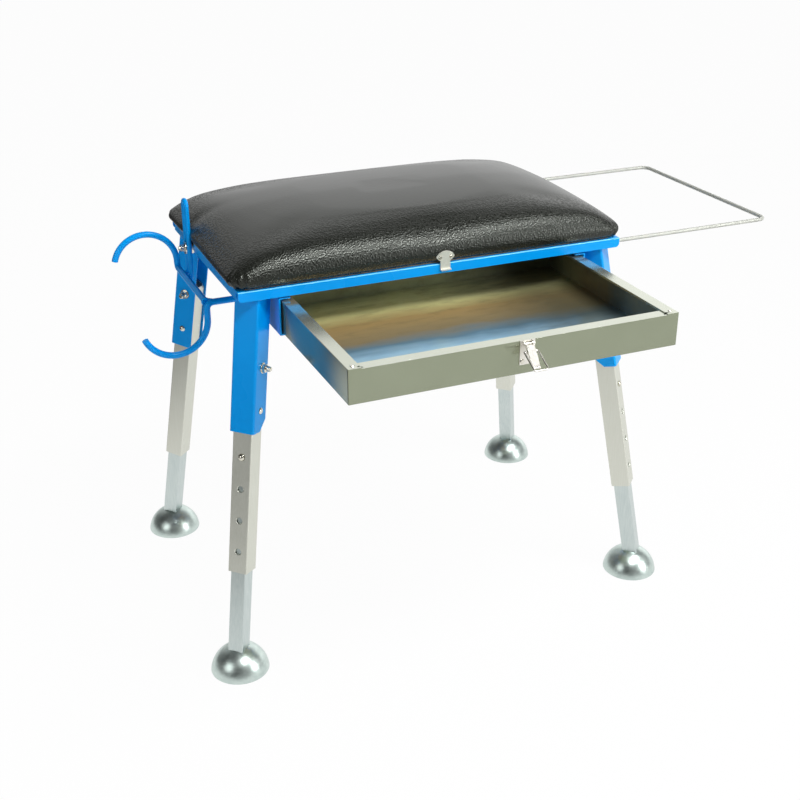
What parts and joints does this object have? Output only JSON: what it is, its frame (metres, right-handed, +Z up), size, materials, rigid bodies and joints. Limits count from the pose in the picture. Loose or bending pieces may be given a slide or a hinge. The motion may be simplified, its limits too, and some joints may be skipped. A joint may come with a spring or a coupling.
{
  "type": "folding stool",
  "caption": "Folding fishing stool with padded seat, pull-out metal drawer, splayed telescopic folding legs, rod rest and sliding wire hoop.",
  "frame": {"origin": "on the floor under the middle of the seat", "axes": "+X to the sitter's right seen from the drawer side, +Y from the drawer front to the back, +Z up"},
  "size_m": [0.8322, 0.6122, 0.5383],
  "materials": {
    "blue_paint": "gloss powder coat",
    "black_vinyl": "grained vinyl",
    "plywood": "raw plywood",
    "aluminium_tube": "satin extrusion",
    "zinc_tube": "bright zinc plate",
    "zinc_dome": "polished zinc plate",
    "drawer_sheet": "zinc-plated sheet",
    "zinc_wire": "zinc-plated wire",
    "nylon": "natural nylon",
    "bright_latch": "nickel plate",
    "steel_fastener": "zinc plate"
  },
  "bodies": {
    "frame": {"rail_front": "blue_paint", "rail_back": "blue_paint", "rail_left": "blue_paint", "rail_right": "blue_paint", "seat_board": "plywood", "cushion": "black_vinyl", "board_screws": "steel_fastener", "guide_left": "blue_paint", "guide_right": "blue_paint", "catch_plate": "bright_latch", "catch_screws": "steel_fastener", "hoop_clips": "zinc_wire", "rest_rod": "blue_paint", "rest_hook": "blue_paint", "rest_loop": "blue_paint", "rest_bolt": "steel_fastener", "rest_nut": "steel_fastener", "channel_fl": "blue_paint", "channel_fr": "blue_paint", "channel_br": "blue_paint", "channel_bl": "blue_paint", "pivot_bolts": "steel_fastener", "pivot_nuts": "steel_fastener", "pivot_washers": "nylon"},
    "drawer": {"drawer_tray": "drawer_sheet", "rivets": "steel_fastener", "latch_base": "bright_latch", "latch_pin": "bright_latch"},
    "lever": {"latch_lever": "bright_latch"},
    "bail": {"latch_bail": "bright_latch"},
    "hoop": {"wire_hoop": "zinc_wire", "hoop_collars": "zinc_wire"},
    "leg_fl": {"mid_tube_fl": "aluminium_tube", "lock_spring_fl": "steel_fastener"},
    "lock_fl": {"lock_button_fl": "steel_fastener"},
    "shin_fl": {"inner_tube_fl": "zinc_tube", "foot_fl": "zinc_dome", "height_spring_fl": "steel_fastener"},
    "height_fl": {"height_button_fl": "steel_fastener"},
    "leg_fr": {"mid_tube_fr": "aluminium_tube", "lock_spring_fr": "steel_fastener"},
    "lock_fr": {"lock_button_fr": "steel_fastener"},
    "shin_fr": {"inner_tube_fr": "zinc_tube", "foot_fr": "zinc_dome", "height_spring_fr": "steel_fastener"},
    "height_fr": {"height_button_fr": "steel_fastener"},
    "leg_br": {"mid_tube_br": "aluminium_tube", "lock_spring_br": "steel_fastener"},
    "lock_br": {"lock_button_br": "steel_fastener"},
    "shin_br": {"inner_tube_br": "zinc_tube", "foot_br": "zinc_dome", "height_spring_br": "steel_fastener"},
    "height_br": {"height_button_br": "steel_fastener"},
    "leg_bl": {"mid_tube_bl": "aluminium_tube", "lock_spring_bl": "steel_fastener"},
    "lock_bl": {"lock_button_bl": "steel_fastener"},
    "shin_bl": {"inner_tube_bl": "zinc_tube", "foot_bl": "zinc_dome", "height_spring_bl": "steel_fastener"},
    "height_bl": {"height_button_bl": "steel_fastener"}
  },
  "joints": [
    {"name": "drawer_slide", "type": "slide", "parent": "frame", "child": "drawer", "axis": [0, -1, 0], "range_m": [-0.206, 0.034]},
    {"name": "latch_lever_hinge", "type": "hinge", "parent": "drawer", "child": "lever", "pos_m": [0.006, -0.3596, 0.458], "axis": [-1, 0, 0], "range_deg": [-38, 90]},
    {"name": "latch_bail_hinge", "type": "hinge", "parent": "lever", "child": "bail", "pos_m": [0.006, -0.36514, 0.45091], "axis": [1, 0, 0], "range_deg": [-147, 26]},
    {"name": "hoop_slide", "type": "slide", "parent": "frame", "child": "hoop", "axis": [1, 0, 0], "range_m": [-0.225, 0]},
    {"name": "fold_fl", "type": "hinge", "parent": "frame", "child": "leg_fl", "pos_m": [-0.23722, -0.13722, 0.3838], "axis": [0.7071, -0.7071, 0], "range_deg": [0, 100], "deforming": ["lock_button_fl"]},
    {"name": "telescope_fl", "type": "slide", "parent": "leg_fl", "child": "shin_fl", "axis": [-0.1349, -0.1349, -0.9816], "range_m": [0, 0.12], "deforming": ["height_button_fl"]},
    {"name": "lock_press_fl", "type": "slide", "parent": "leg_fl", "child": "lock_fl", "axis": [-0.7071, 0.7071, 0], "range_m": [0, 0.005], "stiffness_N_per_m": 1000, "springref_m": -0.002},
    {"name": "height_press_fl", "type": "slide", "parent": "shin_fl", "child": "height_fl", "axis": [0.6941, 0.6941, -0.1908], "range_m": [0, 0.005], "stiffness_N_per_m": 1000, "springref_m": -0.002},
    {"name": "fold_fr", "type": "hinge", "parent": "frame", "child": "leg_fr", "pos_m": [0.23722, -0.13722, 0.3838], "axis": [0.7071, 0.7071, 0], "range_deg": [0, 90], "deforming": ["lock_button_fr"]},
    {"name": "telescope_fr", "type": "slide", "parent": "leg_fr", "child": "shin_fr", "axis": [0.1349, -0.1349, -0.9816], "range_m": [0, 0.12], "deforming": ["height_button_fr"]},
    {"name": "lock_press_fr", "type": "slide", "parent": "leg_fr", "child": "lock_fr", "axis": [0.7071, 0.7071, 0], "range_m": [0, 0.005], "stiffness_N_per_m": 1000, "springref_m": -0.002},
    {"name": "height_press_fr", "type": "slide", "parent": "shin_fr", "child": "height_fr", "axis": [-0.6941, 0.6941, -0.1908], "range_m": [0, 0.005], "stiffness_N_per_m": 1000, "springref_m": -0.002},
    {"name": "fold_br", "type": "hinge", "parent": "frame", "child": "leg_br", "pos_m": [0.23722, 0.13722, 0.3838], "axis": [-0.7071, 0.7071, 0], "range_deg": [0, 100], "deforming": ["lock_button_br"]},
    {"name": "telescope_br", "type": "slide", "parent": "leg_br", "child": "shin_br", "axis": [0.1349, 0.1349, -0.9816], "range_m": [0, 0.12], "deforming": ["height_button_br"]},
    {"name": "lock_press_br", "type": "slide", "parent": "leg_br", "child": "lock_br", "axis": [-0.7071, 0.7071, 0], "range_m": [0, 0.005], "stiffness_N_per_m": 1000, "springref_m": -0.002},
    {"name": "height_press_br", "type": "slide", "parent": "shin_br", "child": "height_br", "axis": [-0.6941, -0.6941, -0.1908], "range_m": [0, 0.005], "stiffness_N_per_m": 1000, "springref_m": -0.002},
    {"name": "fold_bl", "type": "hinge", "parent": "frame", "child": "leg_bl", "pos_m": [-0.23568, 0.13568, 0.3834], "axis": [-0.7071, -0.7071, 0], "range_deg": [0, 90], "deforming": ["lock_button_bl"]},
    {"name": "telescope_bl", "type": "slide", "parent": "leg_bl", "child": "shin_bl", "axis": [-0.1191, 0.1191, -0.9857], "range_m": [0, 0.12], "deforming": ["height_button_bl"]},
    {"name": "lock_press_bl", "type": "slide", "parent": "leg_bl", "child": "lock_bl", "axis": [0.7071, 0.7071, 0], "range_m": [0, 0.005], "stiffness_N_per_m": 1000, "springref_m": -0.002},
    {"name": "height_press_bl", "type": "slide", "parent": "shin_bl", "child": "height_bl", "axis": [0.697, -0.697, -0.1685], "range_m": [0, 0.005], "stiffness_N_per_m": 1000, "springref_m": -0.002}
  ]
}
